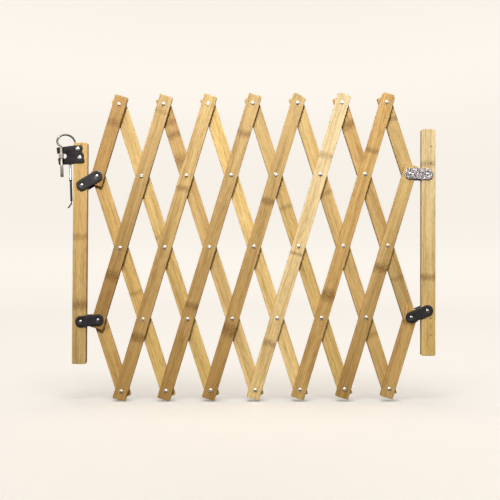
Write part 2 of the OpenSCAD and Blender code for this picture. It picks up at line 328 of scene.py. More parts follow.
# What sets each board apart: its tones at its low and high end, and its node rings, each as
# (height over the board's middle, darkness, half length).
BOARDS = {
    "front_slat_1": dict(low="tan", high="tan", rings=[(47, 0.5, 12)]),
    "front_slat_2": dict(low="umber", high="oat", rings=[(261, 0.35, 7), (-166, 0.9, 16)]),
    "front_slat_3": dict(low="tan", high="straw", rings=[(154, 0.5, 10), (-234, 0.7, 14)]),
    "front_slat_4": dict(low="tan", high="oat", rings=[(296, 0.6, 11), (-154, 0.6, 12)]),
    "front_slat_5": dict(low="tan", high="oat", rings=[(118, 0.8, 11), (-218, 1.0, 22)]),
    "front_slat_6": dict(low="cream", high="pale",
                         rings=[(236, 0.4, 10), (-20, 0.5, 6), (-253, 0.5, 10)]),
    "front_slat_7": dict(low="honey", high="honey", rings=[(249, 0.5, 9), (-129, 1.0, 18)]),
    "front_slat_8": dict(low="tan", high="straw", rings=[(34, 0.9, 15)]),
    "front_slat_9": dict(low="honey", high="honey", rings=[(81, 0.6, 10)]),
    "back_slat_1": dict(low="honey", high="honey", rings=[(69, 0.4, 8)]),
    "back_slat_2": dict(low="corn", high="honey", rings=[(-26, 0.4, 8)]),
    "back_slat_3": dict(low="corn", high="straw", rings=[(29, 0.4, 8)]),
    "back_slat_4": dict(low="cream", high="tan",
                        rings=[(330, 0.5, 10), (297, 0.6, 12), (228, 0.6, 20)]),
    "back_slat_5": dict(low="cream", high="corn", rings=[]),
    "back_slat_6": dict(low="corn", high="oat", rings=[(103, 0.4, 8)]),
    "back_slat_7": dict(low="honey", high="straw", rings=[(139, 0.4, 8), (-235, 0.4, 9)]),
    "back_slat_8": dict(low="oat", high="honey", rings=[(224, 0.9, 14), (-179, 0.4, 9)]),
    "back_slat_9": dict(low="oat", high="oat", rings=[(51, 0.5, 9)]),
    "latch_post": dict(low="oat", high="honey", rings=[(41, 0.4, 10), (-129, 0.8, 16)]),
    "hinge_post": dict(low="corn", high="pale", rings=[(-86, 0.6, 12), (197, 0.4, 10)]),
}

# Worn or cut corners, each as (side, end, how far along the end, how far along the edge).
WORN = {
    "front_slat_5": [(1, 1, 22, 7), (-1, 1, 3, 3)],
    "front_slat_6": [(-1, 1, 6, 4), (1, 1, 4, 3)],
    "front_slat_7": [(-1, 1, 4, 8), (1, 1, 5, 9)],
    "front_slat_3": [(1, -1, 8, 3)],
}


def worn_corners(node, width, length):
    """A tool that takes the worn corners off a board, and reaches well past its outline."""
    tool = Shell()
    past = 9
    for side, end, across, along in WORN[node]:
        x, z = side * width / 2, end * length / 2
        inner, outer = x - side * across, x + side * past
        outline = [(inner, z), (x, z - end * along), (outer, z - end * along),
                   (outer, z + end * past), (inner, z + end * past)]
        tool.rings([[(px, y, pz) for px, pz in outline] for y in (-THROUGH, THROUGH)])
    return tool


# --------------------------------------------------------------------------------- materials


def tint(code):
    """A linear colour from a six-digit sRGB code."""
    parts = [int(code[i:i + 2], 16) / 255 for i in (0, 2, 4)]
    return tuple(p / 12.92 if p < 0.04045 else ((p + 0.055) / 1.055) ** 2.4 for p in parts)


class Nodes:
    """Builds a node tree. Every method but feed adds nodes and gives back what to use next."""

    def __init__(self, tree):
        self.tree = tree

    def node(self, kind, *values, output=0, **settings):
        """Adds a node. values go to its inputs in order: numbers, colours or other outputs.
        None leaves an input as it is."""
        made = self.tree.nodes.new("ShaderNode" + kind)
        for key, value in settings.items():
            setattr(made, key, value)
        for socket, value in zip(made.inputs, values):
            self.feed(socket, value)
        return made.outputs[output]

    def feed(self, socket, value):
        if isinstance(value, bpy.types.NodeSocket):
            self.tree.links.new(value, socket)
        elif value is not None:
            socket.default_value = value

    def calc(self, operation, *values):
        return self.node("Math", *values, operation=operation)

    def place(self, own=Matrix.Scale(MM, 4)):
        """Coordinates in a millimetre frame: a board's own one, or the whole gate's."""
        spot, turn, size = own.inverted().decompose()
        return self.node("Mapping", self.node("TexCoord", output=3), spot, turn.to_euler(), size)

    def split(self, vector):
        made = self.tree.nodes.new("ShaderNodeSeparateXYZ")
        self.feed(made.inputs[0], vector)
        return made.outputs

    def stretch(self, vector, scale, shift=(0, 0, 0)):
        return self.node("VectorMath", vector, scale, shift, operation="MULTIPLY_ADD")

    def clouds(self, vector, scale=1.0, detail=2.0, rough=0.5, twist=0.0):
        return self.node("TexNoise", vector, None, scale, detail, rough, None, None, None, twist)

    def cells(self, vector, scale=1.0):
        return self.node("TexVoronoi", vector, None, scale)

    def rescale(self, value, low, high, to_low=0.0, to_high=1.0):
        """Smoothly maps low..high to to_low..to_high, and holds the ends."""
        return self.node("MapRange", value, low, high, to_low, to_high,
                         interpolation_type="SMOOTHSTEP")

    def ramp(self, factor, *stops):
        """Colours along a factor, given as (position, sRGB code) stops."""
        made = self.tree.nodes.new("ShaderNodeValToRGB")
        self.feed(made.inputs[0], factor)
        elements = made.color_ramp.elements
        while len(elements) < len(stops):
            elements.new(0.5)
        for element, (position, code) in zip(elements, stops):
            element.position = position
            element.color = (*tint(code), 1)
        return made.outputs[0]

    def mix(self, factor, a, b, mode="MIX"):
        made = self.tree.nodes.new("ShaderNodeMix")
        made.data_type, made.blend_type = "RGBA", mode
        for socket, value in zip((made.inputs[0], made.inputs[6], made.inputs[7]), (factor, a, b)):
            if isinstance(value, tuple):
                value = (*value, 1)
            self.feed(socket, value)
        return made.outputs[2]

    def relief(self, height, depth, below=None):
        """A bump of some depth in millimetres, on top of another one."""
        made = self.tree.nodes.new("ShaderNodeBump")
        made.inputs["Strength"].default_value = 1.0
        made.inputs["Distance"].default_value = depth * MM
        self.feed(made.inputs["Height"], height)
        if below is not None:
            self.feed(made.inputs["Normal"], below)
        return made.outputs[0]


class Paint(Nodes):
    """Builds one material around its principled shader."""

    def __init__(self, name, **sockets):
        self.material = bpy.data.materials.new(name)
        self.material.use_nodes = True
        super().__init__(self.material.node_tree)
        self.shader = self.tree.nodes["Principled BSDF"]
        for socket, value in sockets.items():
            self.shader.inputs[socket.replace("_", " ")].default_value = value

    def use(self, colour=None, rough=None, normal=None, metal=None):
        for socket, value in (("Base Color", colour), ("Roughness", rough), ("Normal", normal),
                              ("Metallic", metal)):
            if value is not None:
                self.feed(self.shader.inputs[socket], value)
        return self.material


LIFT = 1.28          # what makes up for the grain's darkening of the tones
STAIN_DARK = 1.5     # a node ring's stain against its swelling, in darkness
STAIN_REACH = 1.25   # and in reach


def bamboo(name, place, low, high, rings, seed, width, length):
    """Bamboo: soft streaks and fine fibres along the board, short dark vascular dashes, burnt
    node rings, painted shade along its sides and dotted end grain."""
    p = Paint(name, Specular_IOR_Level=0.4)
    at = p.place(place)
    x, _, z = p.split(at)
    shift = (seed * 3.7, seed * 1.3, seed * 5.9)
    bands = p.clouds(p.stretch(at, (0.07, 0.07, 0.003), shift), detail=2)
    streaks = p.clouds(p.stretch(at, (0.3, 0.3, 0.009), shift), detail=3, rough=0.55)
    dashes = p.clouds(p.stretch(at, (0.5, 0.5, 0.045), shift), detail=3, rough=0.6)
    fibres = p.clouds(p.stretch(at, (1.7, 1.7, 0.05), shift), detail=3, rough=0.6)
    blotches = p.clouds(p.stretch(at, (0.045, 0.045, 0.02), shift), detail=3, rough=0.6)

    mixed = p.calc("MULTIPLY", bands, 0.2)
    for layer, share in ((streaks, 0.22), (dashes, 0.22), (fibres, 0.3), (blotches, 0.06)):
        mixed = p.calc("MULTIPLY_ADD", layer, share, mixed)
    grain = p.ramp(p.rescale(mixed, 0.38, 0.62), (0, "bcb099"), (0.5, "e6e4e0"), (1, "ffffff"))
    height = p.calc("MULTIPLY_ADD", z, 1 / length, 0.5)
    ground = p.mix(height, *(tuple(LIFT * c for c in tint(WOOD[tone])) for tone in (low, high)))
    base = p.mix(1.0, grain, ground, "MULTIPLY")
    flecks = p.rescale(dashes, 0.61, 0.7)
    base = p.mix(p.calc("MULTIPLY", flecks, 0.35), base, tint("85592a"))

    burnt = None
    mottle = p.rescale(p.clouds(p.stretch(at, (0.45, 0.45, 0.3), shift), detail=4, rough=0.75),
                       0.45, 0.62)
    sway = p.clouds(p.stretch(at, (0.1, 0.1, 0.03), shift), detail=3, rough=0.6)
    for level, dark, reach in rings:
        dark, reach = min(STAIN_DARK * dark, 1), STAIN_REACH * reach
        off = p.calc("ADD", z, p.calc("MULTIPLY_ADD", sway, reach, -level - 0.5 * reach))
        away = p.calc("ABSOLUTE", off)
        patch = p.calc("MULTIPLY", p.rescale(away, 0.2 * reach, reach, 1, 0),
                       p.calc("MULTIPLY_ADD", mottle, 0.6, 0.3))
        core = p.rescale(away, 0.3, 1.8, 0.7, 0)
        patch = p.calc("MULTIPLY", p.calc("MAXIMUM", patch, core), dark)
        burnt = patch if burnt is None else p.calc("MAXIMUM", burnt, patch)
    if burnt is not None:
        base = p.mix(burnt, base, tint("66400f"))

    # Painted shade: the sides and eased long edges are darkened towards 8a602c to stand in for the
    # shade on them.
    side = p.rescale(p.calc("ABSOLUTE", x), width / 2 - 0.75, width / 2 - 0.3)
    base = p.mix(p.calc("MULTIPLY", side, 0.55), base, tint("8a602c"))
    end = p.rescale(p.calc("ABSOLUTE", z), length / 2 - 0.9, length / 2 - 0.2)
    pores = p.rescale(p.cells(p.stretch(at, (0.9, 0.9, 0.9), shift)), 0.12, 0.3, 1, 0)
    base = p.mix(p.calc("MULTIPLY", end, p.calc("MULTIPLY_ADD", pores, 0.5, 0.35)),
                 base, tint("6b451f"))

    rough = p.rescale(fibres, 0.3, 0.7, 0.46, 0.62)
    return p.use(base, rough, p.relief(fibres, 0.08, p.relief(streaks, 0.2)))


def steel(name, low, high, rough, scratch=0.02):
    """Plain steel or zinc, with faint blotches and fine scratches."""
    p = Paint(name, Metallic=0.85)
    at = p.place()
    cloud = p.clouds(at, 0.35, 4, 0.6)
    lines = p.clouds(p.stretch(at, (3.0, 0.6, 0.4)), rough=0.6)
    colour = p.ramp(p.rescale(cloud, 0.3, 0.7), (0, low), (1, high))
    tone = p.rescale(p.calc("ADD", cloud, lines), 0.7, 1.3, rough[0], rough[1])
    return p.use(colour, tone, p.relief(lines, scratch))


def black_steel(name, base, painted_sheen, rough, worn, gloss):
    """Black japanned steel: cloudy gloss, a painted sheen of lighter colour in cloudy patches,
    faint dust and bare metal specks where it is worn.
    """
    p = Paint(name, Coat_Weight=0.5 * gloss, Coat_Roughness=0.3, Specular_IOR_Level=gloss)
    at = p.place()
    cloud = p.clouds(at, 0.09, 4, 0.6)
    grit = p.clouds(at, 1.6, 3, 0.7)
    # Painted sheen: cloudy patches of the lighter second colour stand in for reflected light.
    colour = p.ramp(p.rescale(cloud, 0.3, 0.7), (0, base), (1, painted_sheen))
    specks = p.calc("MULTIPLY", p.rescale(grit, 0.72, 0.78), worn)
    colour = p.mix(specks, colour, tint("a7a39d"))
    tone = p.rescale(p.calc("ADD", cloud, p.calc("MULTIPLY", grit, 0.4)), 0.4, 1.0, *rough)
    normal = p.relief(grit, 0.05, p.relief(cloud, 0.3))
    return p.use(colour, tone, normal, specks)


def galvanised():
    """Hot-dipped zinc: patches of bright and dark spangle over a lumpy skin."""
    p = Paint("galvanised_steel", Metallic=0.85)
    at = p.place()
    lumps = p.clouds(at, 0.2, 3, 0.6, 0.6)
    crust = p.clouds(at, 0.36, 3, 0.6, 0.8)
    flakes = p.cells(at, 0.24)
    shade = p.calc("MULTIPLY_ADD", crust, 0.8, p.calc("MULTIPLY", flakes, 0.35))
    colour = p.ramp(p.rescale(shade, 0.38, 0.78), (0, "45434c"), (0.3, "85818a"),
                    (0.65, "bdb9bb"), (1, "f0eeed"))
    normal = p.relief(crust, 0.5, p.relief(lumps, 1.6))
    return p.use(colour, p.rescale(crust, 0.3, 0.7, 0.22, 0.5), normal)


def rubber():
    """Matt black rubber with a faint grain."""
    p = Paint("black_rubber", Roughness=0.7)
    grain = p.clouds(p.place(), 1.5, 3, 0.6)
    colour = p.ramp(grain, (0.3, "111112"), (0.7, "222223"))
    return p.use(colour, p.rescale(grain, 0.3, 0.7, 0.6, 0.8), p.relief(grain, 0.05))


ZINC = steel("bright_zinc", "cfcecc", "f2f2f0", (0.2, 0.36))
LINK_ZINC = steel("link_pin_zinc", "cfcfce", "f2f2f2", (0.2, 0.36))
SCREW_CHROME = steel("screw_chrome", "d6d6d6", "f6f6f6", (0.12, 0.25))
TUBE_STEEL = steel("tube_steel", "a5a3a1", "cfcdca", (0.28, 0.45))
PIN_STEEL = steel("pin_steel", "8f8a84", "bdb7ae", (0.3, 0.5), 0.05)
WIRE_STEEL = steel("dark_wire", "5c5855", "86817d", (0.22, 0.42), 0.04)
# The second colour of each black steel is a painted sheen.
LINK_BLACK = black_steel("link_black", "0d0d0f", "1d1c20", (0.34, 0.55), 0.5, 0.5)
PLATE_BLACK = black_steel("plate_black", "14110f", "242126", (0.32, 0.5), 0.8, 0.25)
GALVANISED = galvanised()
RUBBER = rubber()


# -------------------------------------------------------------------------- slats and posts


def make_board(node, up, corner, spots):
    """One board on its CAD node's place. spots are the (x, z, radius) holes through it."""
    low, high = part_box(node)
    width, length = outline_size(node, up, corner)
    thick = (high.y - low.y) / MM
    seed = 1 + list(BOARDS).index(node)
    mesh = board(width, length, thick, corner, BOARDS[node]["rings"], seed).mesh(node)
    if node in WORN:
        mesh = cut(mesh, worn_corners(node, width, length))
    mesh = cut(mesh, holes(spots))
    place = stand(middle(node), up)
    look = bamboo("bamboo_" + node, place, seed=seed, width=width, length=length, **BOARDS[node])
    put(node + "_board", mesh, look, node, [node], place)


def make_slat(n, layer):
    """One slat, whose holes lie on the lattice even where the slat itself sits aside."""
    up = LAYER_UP[layer]
    node = f"{layer}_slat_{n}"
    rows = slat_rows(n, layer)
    mid_row = (rows[0] + rows[-1]) / 2
    line = LATTICE_MID + NEXT_SLAT * (n - 5) + up * (mid_row - 2)
    aside = (stand(middle(node), up).inverted() @ line).x
    spots = []
    for row in rows:
        at_link = abs(step_of(n, layer, row)) == EDGE_STEPS
        spots.append((aside, (row - mid_row) * PITCH, (PIN_R if at_link else RIVET_R) + PLAY))
    make_board(node, up, SLAT_CORNER, spots)


def post_spots(place, side):
    """A post's two pin holes. The lower one is the clearance hole."""
    upper, lower = (place.inverted() @ pin_ends(f"{side}_{level}")[1]
                    for level in ("upper", "lower"))
    return [(upper.x, upper.z, PIN_R + PLAY), (lower.x, lower.z, OPEN_PIVOT_R)]


LATCH_UP = pin_ends("latch_upper")[1] - pin_ends("latch_lower")[1]
HINGE_UP = Vector((0, 0, 1))


def screw_holes_in(place):
    """The hinge post's four screw holes, from the record's two bolt patterns."""
    found = []
    for mount in frame["record"]["mounts"]:
        if mount["kind"] == "bolt_pattern":
            reach = mount["dims"]["spacing_y_mm"] / 2 * MM
            for end in (-reach, reach):
                spot = place.inverted() @ (Vector(mount["pos_m"]) + Vector((0, 0, end)))
                found.append((spot.x, spot.z, HINGE_HOLE_R))
    return found


def make_posts():
    """Both posts, with their pin holes and the hinge post's screw holes."""
    place = stand(middle("hinge_post"), HINGE_UP)
    spots = post_spots(place, "hinge") + screw_holes_in(place)
    make_board("hinge_post", HINGE_UP, POST_CORNER, spots)
    place = stand(middle("latch_post"), LATCH_UP)
    spots = post_spots(place, "latch")
    make_board("latch_post", LATCH_UP, POST_CORNER, spots)


# ------------------------------------------------------------------------- rivets and links


def dome(radius, height, front, dimple=0.0):
    """Profile of a domed head whose rim lies at depth front, out to its rim."""
    points = []
    for k in range(9):
        a = math.radians(90 * k / 8)
        r, y = radius * math.sin(a), -height * math.cos(a)
        if dimple and r < 0.42 * radius:
            y += dimple * (1 - (r / (0.42 * radius)) ** 2)
        points.append((r, front + y))
    return points


def clenched(radius, shank, back, height):
    """Profile of a rolled tail behind depth back, with the hollow that rolling leaves."""
    return [(shank, back), (0.8 * radius, back), (radius, back + 0.25 * height),
            (0.96 * radius, back + 0.7 * height), (0.8 * radius, back + height),
            (0.55 * radius, back + 0.9 * height), (0.36 * radius, back + 0.35 * height),
            (0, back + 0.25 * height)]


HOLLOW = 0.9         # depth of a hollow head's middle


def rivet_profile(head, shank, front, back, dimple):
    low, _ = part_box("rivets_1")
    height = (front * MM - low.y) / MM
    return dome(head, height, front, dimple) + [(shank, front)] + clenched(
        0.86 * head, shank, back, 1.3)


def make_rivets(n):
    """The rivets of one front slat. Some heads are hollow in the middle."""
    node = f"rivets_{n}"
    low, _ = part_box(f"front_slat_{n}")
    _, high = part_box(f"back_slat_{n}")
    shell = Shell()
    for row in slat_rows(n, "front"):
        if abs(step_of(n, "front", row)) == EDGE_STEPS:
            continue
        spot = (LATTICE_MID + NEXT_SLAT * (n - 5) + FRONT_UP * (row - 2)) / MM
        hollow = HOLLOW if (n + 2 * row) % 3 == 2 else 0.0
        profile = rivet_profile(0.97 * HEAD_R / MM, RIVET_R, low.y / MM, high.y / MM + 0.2, hollow)
        shell.lathe(profile, 40, place=Matrix.Translation(spot))
    put(node + "_zinc", shell.mesh(node, 50), ZINC, f"front_slat_{n}", [node])


DISH_DEEP = 0.6      # dished seat round each pin of a front link
DISH_R = 6.0
RIM = 0.6            # rounding of a link's rim
LINK_T = 2.0
LINK_HEAD_R = 4.0
LINK_TAIL_R = 4.2


def lobe_outline(half_w, half_reach):
    """One half of a link's outline about its pin: (angle, radius, inward x, inward z, is_seam)."""
    seam = math.atan2(half_w, half_reach)
    turns = sorted({2 * math.pi * k / 72 - math.pi for k in range(72)} | {seam, -seam})
    found = []
    for t in turns:
        c, s = math.cos(t), math.sin(t)
        if c <= 1e-9:
            found.append((t, half_w, -c, -s, False))
        elif abs(t) >= seam - 1e-9:
            found.append((t, half_w / abs(s), 0, -math.copysign(1, s), abs(t) < seam + 1e-6))
        else:
            found.append((t, half_reach / c, 0, 0, True))
    return found


def link_shell(reach, width, thick, dish):
    """A round-ended link about its middle, with a dished seat round each pin."""
    half_t, half_w = thick / 2, width / 2
    seat = -half_t + dish
    shell = Shell()
    outline = lobe_outline(half_w, reach / 2)
    bore, near = PIN_R + PLAY, DISH_R + 0.7
    levels = [("round", bore, seat), ("round", DISH_R - 1.0, seat),
              ("round", DISH_R, -half_t + 0.1),
              ("round", near, -half_t), ("spread", 0.5, -half_t), ("rim", 1.0, -half_t),
              ("rim", 0.3, -half_t + 0.17), ("rim", 0.0, -half_t + 0.6),
              ("rim", 0.0, half_t - 0.4), ("rim", 1.0, half_t), ("spread", 0.5, half_t),
              ("round", DISH_R, half_t), ("round", bore, half_t)]
    for side in (-1, 1):
        rings = []
        for kind, value, y in levels:
            ring = []
            for t, radius, nx, nz, _ in outline:
                r = value if kind == "round" else radius
                px, pz = r * math.cos(t), r * math.sin(t)
                if kind == "spread":
                    px = value * px + (1 - value) * near * math.cos(t)
                    pz = value * pz + (1 - value) * near * math.sin(t)
                if kind == "rim":
                    px, pz = px + nx * value * RIM, pz + nz * value * RIM
                ring.append((side * (reach / 2 - px), y, pz))
            rings.append(ring)
        rim_rings = [i for i, (kind, _, _) in enumerate(levels) if kind == "rim"][:-1]
        seam = [k for k in range(len(outline))
                if outline[k][4] and outline[(k + 1) % len(outline)][4]]
        shell.rings(rings, closed=True, skip={(i, k) for i in rim_rings for k in seam})
    return shell


def pin_shell(reach, front, back, spacer_x, spacer_front):
    """A link's two pins, with the spacer that holds the rear link off the post."""
    shell = Shell()
    radius = HEAD_R / MM
    near, far = spacer_front + 0.1, back - LINK_T - 0.1
    shell.lathe([(PIN_R + 0.02, near), (radius - 0.5, near), (radius - 0.1, near + 0.4),
                 (radius - 0.1, far - 0.4), (radius - 0.5, far), (PIN_R + 0.02, far)], 40,
                closed=True, place=Matrix.Translation((spacer_x, 0, 0)))
    for x in (-reach / 2, reach / 2):
        height = HEAD_H + DISH_DEEP - 0.3
        seat = front + DISH_DEEP
        profile = dome(LINK_HEAD_R, height, seat) + [(PIN_R, seat)] + clenched(
            LINK_TAIL_R, PIN_R, back, 1.35)
        shell.lathe(profile, 40, place=Matrix.Translation((x, 0, 0)))
    return shell


def make_links(corner):
    """The front and back link of one corner, and their two pins."""
    lattice, post = pin_ends(corner)
    along = post - lattice
    if along.x < 0:
        along = -along
    reach = along.length / MM
    front_low, front_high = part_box("front_link_" + corner)
    _, back_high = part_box("back_link_" + corner)
    thick = (front_high.y - front_low.y) / MM
    width = (front_high.z - front_low.z - abs(along.z)) / MM
    up = Vector((-along.z, 0, along.x))
    mid = (lattice + post) / 2
    body = "link_" + corner
    galvanised_front = corner == "hinge_upper"
    for side in ("front", "back"):
        node = f"{side}_link_{corner}"
        front = side == "front"
        shell = link_shell(reach, width, thick, DISH_DEEP if front else 0.0)
        zinc = front and galvanised_front
        put(node + "_plate", shell.mesh(node), GALVANISED if zinc else LINK_BLACK, body,
            [node],
            stand(Vector((mid.x, middle(node).y, mid.z)), up))
    post_node = "hinge_post" if corner.startswith("hinge") else "latch_post"
    post_x = reach / 2 if post_node == "hinge_post" else -reach / 2
    pins = pin_shell(reach, front_low.y / MM, back_high.y / MM, post_x,
                     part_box(post_node)[1].y / MM)
    # Painted shade: the lower links' pins take the darker tube steel, a darker copy of the upper
    # pins' zinc, so that they look darker low down.
    lower = corner.endswith("lower")
    put(f"pins_{corner}_zinc", pins.mesh("pins_" + corner, 50), TUBE_STEEL if lower else LINK_ZINC,
        body, ["pins_" + corner], stand(mid, up))


# ------------------------------------------------------------------------------------- latch

# The latch is drawn about a zero on its post's front face, at the top, as the part is.
LATCH_ZERO = 19.5        # from the post's outer edge
LATCH_LEAN = math.radians(2.5)
LATCH_PIVOT = Vector((-37.5, 0, -35))
PLATE_T = 2.0
PIN_X, PIN_Y = -46.8, -6.1
PIN_TOP, PIN_STEP, PIN_BOTTOM = -12.0, -58.0, -87.0
PIN_END_R, PIN_STEM_R = 3.8, 3.4
KNUCKLE_R = 6.0
WINDOW_LOW, WINDOW_HIGH, WINDOW_END = -41.0, -29.0, -35.3
SCREWS = ((-8, -16.5), (-3, -38.5))
SCREW_HEAD_R, SCREW_HOLE_R = 5.2, 2.2
ROD_X, ROD_Y, ROD_R = -29.0, 3.3, 2.7
ROD_TOP, ROD_BOTTOM = -42.0, -147.0
TUBE_TOP, TUBE_BOTTOM, TUBE_R, LIP_R = -44.0, -94.0, 3.4, 4.6
RING_H = 3.0
WIRE_R = 2.5
BEHIND_Y = 15.3
LOOP_MID, LOOP_R = (-37.5, 1.5), 19.0
PLATE_OUTLINE = [
    (-21, -8.5), (-1, -7), (2.5, -8.5), (4, -12), (3.5, -17), (1.5, -21), (4, -26), (7, -30),
    (7.3, -42), (9, -45), (8.5, -48.5), (5.5, -50.5), (-18.5, -52), (-19, -55), (-54.5, -56.8)]


def latch_place():
    """The latch's frame, and the same frame leaned about the plate's middle for what slides."""
    width, length = outline_size("latch_post", LATCH_UP, POST_CORNER)
    low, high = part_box("latch_post")
    zero = Vector((LATCH_ZERO - width / 2, (low.y - high.y) / 2 / MM, length / 2))
    place = stand(middle("latch_post"), LATCH_UP) @ Matrix.Translation(zero)
    lean = (Matrix.Translation(LATCH_PIVOT) @ Matrix.Rotation(-LATCH_LEAN, 4, "Y")
            @ Matrix.Translation(-LATCH_PIVOT))
    return place, place @ lean


LATCH, SLIDE = latch_place()


def plate_points():
    """The plate's outline, with its window open to the left edge."""
    half = (WINDOW_HIGH - WINDOW_LOW) / 2
    window = arc((WINDOW_END - half, WINDOW_LOW + half), half, -90, 90, 12)
    return PLATE_OUTLINE + [(-56.9, -42), (-57.2, WINDOW_LOW)] + window + [
        (-58.9, WINDOW_HIGH), (-61, -14)]


def plate_mesh():
    """The plate as a filled outline with rounded edges."""
    curve = bpy.data.curves.new("plate", "CURVE")
    curve.dimensions, curve.fill_mode = "2D", "BOTH"
    curve.extrude, curve.bevel_depth, curve.bevel_resolution = PLATE_T / 2 - 0.3, 0.3, 2
    curve.offset = -0.3
    spline = curve.splines.new("POLY")
    points = plate_points()
    spline.points.add(len(points) - 1)
    for point, (x, z) in zip(spline.points, points):
        point.co = (x, z, 0, 1)
    spline.use_cyclic_u = True
    holder = bpy.data.objects.new("plate", curve)
    bpy.context.scene.collection.objects.link(holder)
    graph = bpy.context.evaluated_depsgraph_get()
    mesh = bpy.data.meshes.new_from_object(holder.evaluated_get(graph))
    bpy.data.objects.remove(holder)
    mesh.transform(Matrix.Translation((0, -PLATE_T / 2, 0)) @ Matrix.Rotation(math.pi / 2, 4, "X"))
    weld(mesh, 1e-3)
    return mesh


def make_plate():
    """The plate with its two screw holes."""
    drilled = cut(plate_mesh(), holes([(x, z, SCREW_HOLE_R) for x, z in SCREWS]))
    put("latch_plate_black", drilled, PLATE_BLACK, "latch_post", ["latch_plate"],
        LATCH)


def downward(x, y):
    """Turns a lathe's y axis to point down the local z, so that depth runs from top to bottom."""
    return Matrix.Translation((x, y, 0)) @ Matrix.Rotation(-math.pi / 2, 4, "X")


def make_knuckle():
    """The tab rolled round the locking pin, with eased rims."""
    shell = Shell()
    bore = PIN_END_R + PLAY
    high, low = -(WINDOW_HIGH + 0.4), -(WINDOW_LOW - 0.4)
    shell.lathe([(bore, high + 0.4), (bore + 0.4, high), (KNUCKLE_R - 0.5, high),
                 (KNUCKLE_R - 0.05, high + 0.5), (KNUCKLE_R - 0.05, low - 0.5),
                 (KNUCKLE_R - 0.5, low), (bore + 0.4, low), (bore, low - 0.4)],
                40, closed=True, place=downward(PIN_X, PIN_Y))
    put("latch_knuckle", shell.mesh("latch_knuckle"), PIN_STEEL, "latch_post", (),
        SLIDE)


def screw_mesh():
    """One pan-head screw about its head's seat, with a cross recess and a coarse thread."""
    shell = Shell()
    length, core, crest, pitch = 10.0, 1.5, 2.0, 1.6
    profile = dome(SCREW_HEAD_R, HEAD_H, 0.0) + [(crest, 0.0), (crest, 1.5)]
    y = 1.5
    while y < length - 3:
        profile += [(core, y + pitch / 2), (crest, y + pitch)]
        y += pitch
    profile += [(0, length)]
    shell.lathe(profile, 32)
    made = shell.mesh("screw", 50)
    for turn in (0, 90):
        arm = [(-2.6, -3), (2.6, -3), (1.2, -0.5), (-1.2, -0.5)]
        rings = [[(x, y, z) for x, y in arm] for z in (-0.55, 0.55)]
        tool = Shell().rings(rings, place=Matrix.Rotation(math.radians(turn), 4, "Y"))
        made = cut(made, tool, 50)
    return made


def make_screws():
    """Both plate screws in one mesh, each turned its own way."""
    work = bmesh.new()
    for (x, z), turn in zip(SCREWS, (20, 65)):
        part = screw_mesh()
        part.transform(Matrix.Translation((x, -PLATE_T, z)) @ Matrix.Rotation(
            math.radians(turn), 4, "Y"))
        work.from_mesh(part)
    mesh = bpy.data.meshes.new("latch_screws")
    work.to_mesh(mesh)
    work.free()
    finish_shading(mesh, 50)
    put("latch_screws_chrome", mesh, SCREW_CHROME, "latch_post", ["latch_screws"],
        LATCH)


def make_guide():
    """The guide tube with its flared mouth, and the ring under it."""
    bore = ROD_R + PLAY
    tube = Shell()
    tube.lathe([(bore, -TUBE_TOP + 0.3), (bore + 0.3, -TUBE_TOP), (TUBE_R - 0.2, -TUBE_TOP),
                (TUBE_R, -TUBE_TOP + 0.2), (TUBE_R, -TUBE_BOTTOM - 2.4),
                (TUBE_R + 0.4, -TUBE_BOTTOM - 1.6), (LIP_R, -TUBE_BOTTOM - 0.7),
                (LIP_R, -TUBE_BOTTOM - 0.2), (LIP_R - 0.3, -TUBE_BOTTOM), (bore, -TUBE_BOTTOM)],
               40, closed=True, place=downward(ROD_X, ROD_Y))
    put("guide_tube_steel", tube.mesh("guide_tube"), TUBE_STEEL, "latch_post",
        ["guide_tube"], SLIDE)
    ring = Shell()
    top, low = -TUBE_BOTTOM, -TUBE_BOTTOM + RING_H
    ring.lathe([(bore, top), (TUBE_R - 0.5, top), (TUBE_R, top + 0.5), (TUBE_R, low - 0.6),
                (TUBE_R - 0.5, low), (bore, low)], 40, closed=True, place=downward(ROD_X, ROD_Y))
    put("guide_ring_rubber", ring.mesh("guide_ring"), RUBBER, "latch_post",
        ["guide_ring"], SLIDE)


def cut_corners(points, radii):
    """One pass of corner cutting, with a radius carried at each point."""
    new_points, new_radii = [points[0]], [radii[0]]
    for i in range(len(points) - 1):
        for share in (0.25, 0.75):
            new_points.append(points[i].lerp(points[i + 1], share))
            new_radii.append(radii[i] + share * (radii[i + 1] - radii[i]))
    return new_points + [points[-1]], new_radii + [radii[-1]]


def sweep(points, radii):
    """A tube along a route, whose section is carried along without twisting."""
    sides = 16
    shell = Shell()
    across = Vector((0, 1, 0))
    rings = []
    for i, point in enumerate(points):
        heading = (points[min(i + 1, len(points) - 1)] - points[max(i - 1, 0)]).normalized()
        across = (across - across.dot(heading) * heading).normalized()
        other = heading.cross(across)
        rings.append([point + radii[i] * (math.cos(2 * math.pi * k / sides) * across
                                          + math.sin(2 * math.pi * k / sides) * other)
                      for k in range(sides)])
    return shell.rings(rings)


def loop_point(a):
    """A point on the handle's loop, which slants from the pin's depth to behind the post."""
    a = math.radians(a)
    share = (1 - math.cos(a)) / 2
    return Vector((LOOP_MID[0] - LOOP_R * math.cos(a), PIN_Y + share * (BEHIND_Y - PIN_Y),
                   LOOP_MID[1] + LOOP_R * math.sin(a)))


